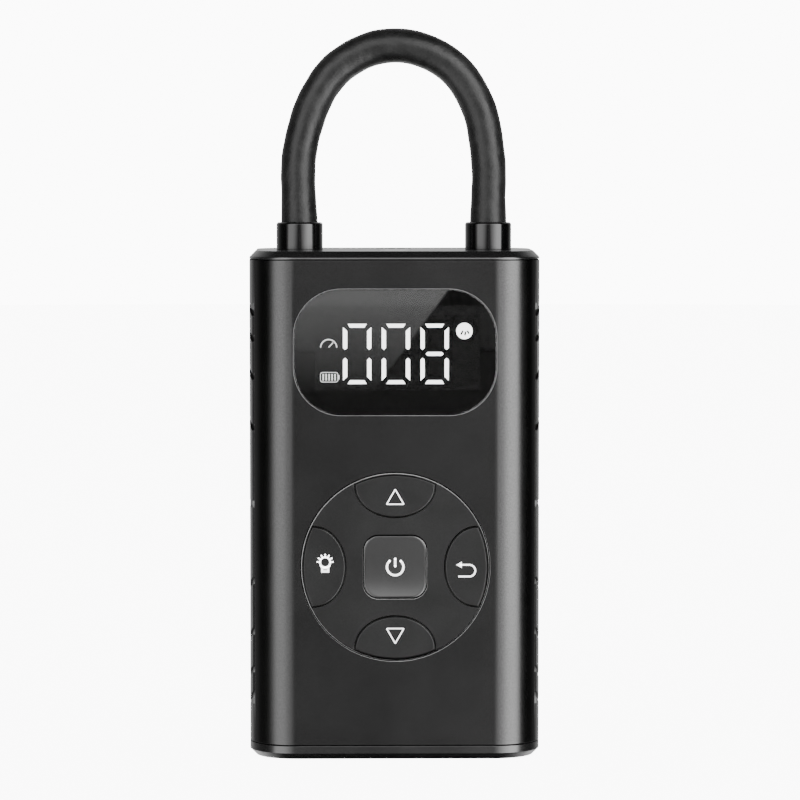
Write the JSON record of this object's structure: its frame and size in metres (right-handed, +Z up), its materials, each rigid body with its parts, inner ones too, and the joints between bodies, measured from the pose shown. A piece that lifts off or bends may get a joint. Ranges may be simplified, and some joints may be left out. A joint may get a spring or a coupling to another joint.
{
  "type": "portable tire inflator",
  "caption": "Pocket air pump: black sleeve casing with digital display and round keypad in front, grooved sides and a short hose looped between two ports on top.",
  "frame": {"origin": "on the standing surface, under the middle of the foot pad", "axes": "+Z up along the casing, -Y out of the front with the display, +X to the right seen from the front"},
  "size_m": [0.071, 0.0459, 0.1788],
  "materials": {
    "casing_black": "satin black moulding with a very fine grain",
    "cap_black": "satin black moulded cap",
    "key_black": "soft satin black key plastic",
    "smoked_window": "smoked gloss acrylic",
    "mask_black": "black printed film",
    "module_black": "black display module",
    "lit_white": "lit white",
    "clear_lens": "clear diffusing lens",
    "rubber_black": "black rubber",
    "hose_rubber": "smooth black hose rubber with a slight wave",
    "silicone_grey": "translucent grey silicone",
    "collar_black": "black gloss plated collar",
    "brass": "turned brass",
    "steel": "plain steel",
    "nickel": "nickel strip",
    "magnet_grey": "sintered ferrite",
    "cast_alloy": "die-cast alloy",
    "gear_nylon": "natural nylon",
    "inner_plastic": "dark moulded plastic",
    "board_green": "solder-masked board",
    "chip_black": "epoxy package",
    "switch_black": "switch body",
    "cell_wrap": "shrink-wrapped cell"
  },
  "bodies": {
    "casing": {"housing_sleeve": "casing_black", "top_cap": "cap_black", "bottom_cap": "cap_black", "foot_pad": "rubber_black", "display_window": "smoked_window", "display_mask": "mask_black", "display_module": "module_black", "display_segments": "lit_white", "keypad_plate": "key_black", "keypad_membrane": "silicone_grey", "tact_switches": "switch_black", "main_board": "board_green", "board_components": "chip_black", "board_screws": "steel", "usb_board": "board_green", "usb_board_screws": "steel", "usb_socket": "steel", "work_light_lens": "clear_lens", "work_light_led": "lit_white", "hose": "hose_rubber", "outlet_collar": "collar_black", "outlet_nipple": "brass", "outlet_seal": "rubber_black", "outlet_block": "cast_alloy", "storage_socket": "inner_plastic", "battery_cells": "cell_wrap", "battery_holder": "inner_plastic", "battery_tabs": "nickel", "base_screws": "steel", "pump_frame": "inner_plastic", "motor_can": "steel", "motor_end_cap": "inner_plastic", "motor_magnets": "magnet_grey", "motor_screws": "steel", "crank_axle": "steel", "cylinder": "cast_alloy", "head_gasket": "rubber_black", "cylinder_head": "cast_alloy", "valve_spring": "steel", "pump_screws": "steel", "air_tube": "silicone_grey", "pressure_sensor": "chip_black"},
    "chuck": {"chuck_body": "brass", "chuck_collar": "collar_black", "chuck_seal": "rubber_black", "valve_pin": "brass"},
    "power_key": {"power_button": "key_black"},
    "up_key": {"up_button": "key_black"},
    "down_key": {"down_button": "key_black"},
    "light_key": {"light_button": "key_black"},
    "back_key": {"back_button": "key_black"},
    "rotor": {"motor_rotor": "steel", "pinion": "brass"},
    "crank": {"crank_gear": "gear_nylon", "crank_pin": "steel"},
    "piston_set": {"piston": "cast_alloy", "piston_seal": "rubber_black", "connecting_rod": "gear_nylon", "wrist_pin": "steel"},
    "valve_disc": {"outlet_valve": "rubber_black"}
  },
  "joints": [
    {"name": "chuck_pull", "type": "slide", "parent": "casing", "child": "chuck", "axis": [0, 0, 1], "range_m": [0, 0.03], "deforming": ["hose"]},
    {"name": "power_press", "type": "slide", "parent": "casing", "child": "power_key", "axis": [0, 1, 0], "range_m": [0, 0.00045], "stiffness_N_per_m": 600, "springref_m": -0.0004},
    {"name": "up_press", "type": "slide", "parent": "casing", "child": "up_key", "axis": [0, 1, 0], "range_m": [0, 0.00045], "stiffness_N_per_m": 600, "springref_m": -0.0004},
    {"name": "down_press", "type": "slide", "parent": "casing", "child": "down_key", "axis": [0, 1, 0], "range_m": [0, 0.00045], "stiffness_N_per_m": 600, "springref_m": -0.0004},
    {"name": "light_press", "type": "slide", "parent": "casing", "child": "light_key", "axis": [0, 1, 0], "range_m": [0, 0.00045], "stiffness_N_per_m": 600, "springref_m": -0.0004},
    {"name": "back_press", "type": "slide", "parent": "casing", "child": "back_key", "axis": [0, 1, 0], "range_m": [0, 0.00045], "stiffness_N_per_m": 600, "springref_m": -0.0004},
    {"name": "motor_spin", "type": "hinge", "parent": "casing", "child": "rotor", "pos_m": [0.0015, 0.003, 0.0775], "axis": [1, 0, 0], "continuous": true},
    {"name": "crank_spin", "type": "hinge", "parent": "casing", "child": "crank", "pos_m": [0.0015, 0.003, 0.061], "axis": [1, 0, 0], "continuous": true},
    {"name": "piston_stroke", "type": "slide", "parent": "casing", "child": "piston_set", "axis": [0, 0, 1], "range_m": [0, 0.009]},
    {"name": "outlet_valve_lift", "type": "slide", "parent": "casing", "child": "valve_disc", "axis": [0, 0, 1], "range_m": [0, 0.0008], "stiffness_N_per_m": 60, "springref_m": -0.001, "deforming": ["valve_spring"]}
  ],
  "couplings": [
    {"joint": "crank_spin", "follows": "motor_spin", "ratio": -0.25}
  ]
}
